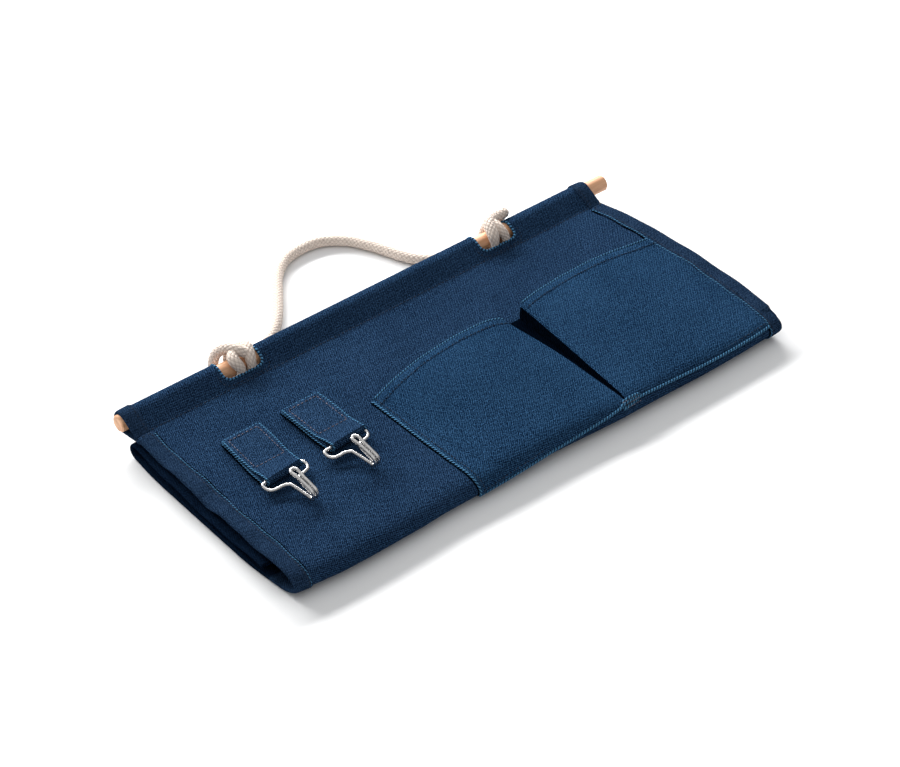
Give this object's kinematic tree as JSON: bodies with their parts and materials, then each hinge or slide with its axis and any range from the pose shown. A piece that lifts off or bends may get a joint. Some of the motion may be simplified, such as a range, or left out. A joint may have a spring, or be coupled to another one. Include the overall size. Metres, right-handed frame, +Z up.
{
  "type": "brush roll case",
  "caption": "Canvas brush roll folded in three on a wooden dowel, with a knotted rope handle, strap tabs holding wire hooks, and pleated pockets.",
  "frame": {"origin": "on the table, under the middle of the case's box without the handle rope", "axes": "+X along the dowel to its longer free end, +Y from the front fold towards the dowel, +Z up from the table"},
  "size_m": [0.4366, 0.2914, 0.036],
  "materials": {
    "canvas": "navy twill canvas",
    "binding": "woven binding tape",
    "hem_edge": "turned canvas edge",
    "thread": "sewing thread",
    "rope": "braided cotton rope",
    "dowel_wood": "sanded beech",
    "hook_wire": "bright nickel-plated wire"
  },
  "bodies": {
    "bottom_layer": {"bottom_panel": "canvas", "bottom_left_binding": "binding", "bottom_right_binding": "binding", "front_fold": "canvas", "rear_fold": "canvas"},
    "inner_flap": {"inner_flap": "canvas", "flap_left_binding": "binding", "flap_right_binding": "binding", "flap_hem": "canvas"},
    "top_layer": {"top_panel": "canvas", "top_left_binding": "binding", "top_right_binding": "binding", "left_sleeve": "canvas", "middle_sleeve": "canvas", "right_sleeve": "canvas", "left_sleeve_binding": "binding", "right_sleeve_binding": "binding", "left_notch_hem": "hem_edge", "right_notch_hem": "hem_edge", "sleeve_seam_thread": "thread", "left_pocket": "canvas", "right_pocket": "canvas", "left_mouth_hem": "canvas", "right_mouth_hem": "canvas", "pocket_divider": "canvas", "divider_tack": "thread", "left_tab": "canvas", "right_tab": "canvas", "left_tab_stitching": "thread", "right_tab_stitching": "thread"},
    "left_loop": {"left_tab_loop": "canvas"},
    "right_loop": {"right_tab_loop": "canvas"},
    "left_hook": {"left_hook": "hook_wire"},
    "right_hook": {"right_hook": "hook_wire"},
    "dowel": {"dowel": "dowel_wood"},
    "handle": {"left_knot": "rope", "right_knot": "rope", "left_bight": "rope", "right_bight": "rope", "rope_handle": "rope"}
  },
  "joints": [
    {"name": "top_layer_fold", "type": "hinge", "parent": "bottom_layer", "child": "top_layer", "pos_m": [0, -0.09103, 0.009], "axis": [1, 0, 0], "range_deg": [0, 170], "deforming": ["front_fold"]},
    {"name": "inner_flap_fold", "type": "hinge", "parent": "bottom_layer", "child": "inner_flap", "pos_m": [0, 0.07597, 0.005], "axis": [-1, 0, 0], "range_deg": [0, 34.5], "deforming": ["rear_fold"]},
    {"name": "dowel_slide", "type": "slide", "parent": "top_layer", "child": "dowel", "axis": [1, 0, 0], "range_m": [-0.006, 0.006]},
    {"name": "handle_swing", "type": "hinge", "parent": "dowel", "child": "handle", "pos_m": [0, 0.09197, 0.02], "axis": [1, 0, 0], "range_deg": [0, 90]},
    {"name": "left_loop_flex", "type": "hinge", "parent": "top_layer", "child": "left_loop", "pos_m": [-0.1577, -0.00423, 0.0196], "axis": [-1, 0, 0], "range_deg": [0, 60]},
    {"name": "right_loop_flex", "type": "hinge", "parent": "top_layer", "child": "right_loop", "pos_m": [-0.1077, -0.00423, 0.0196], "axis": [-1, 0, 0], "range_deg": [0, 60]},
    {"name": "left_hook_swivel", "type": "hinge", "parent": "left_loop", "child": "left_hook", "pos_m": [-0.1577, -0.01623, 0.02127], "axis": [-1, 0, 0], "range_deg": [0, 90]},
    {"name": "right_hook_swivel", "type": "hinge", "parent": "right_loop", "child": "right_hook", "pos_m": [-0.1077, -0.01623, 0.02127], "axis": [-1, 0, 0], "range_deg": [0, 90]}
  ],
  "couplings": [
    {"joint": "inner_flap_fold", "follows": "top_layer_fold", "ratio": 0.2}
  ]
}
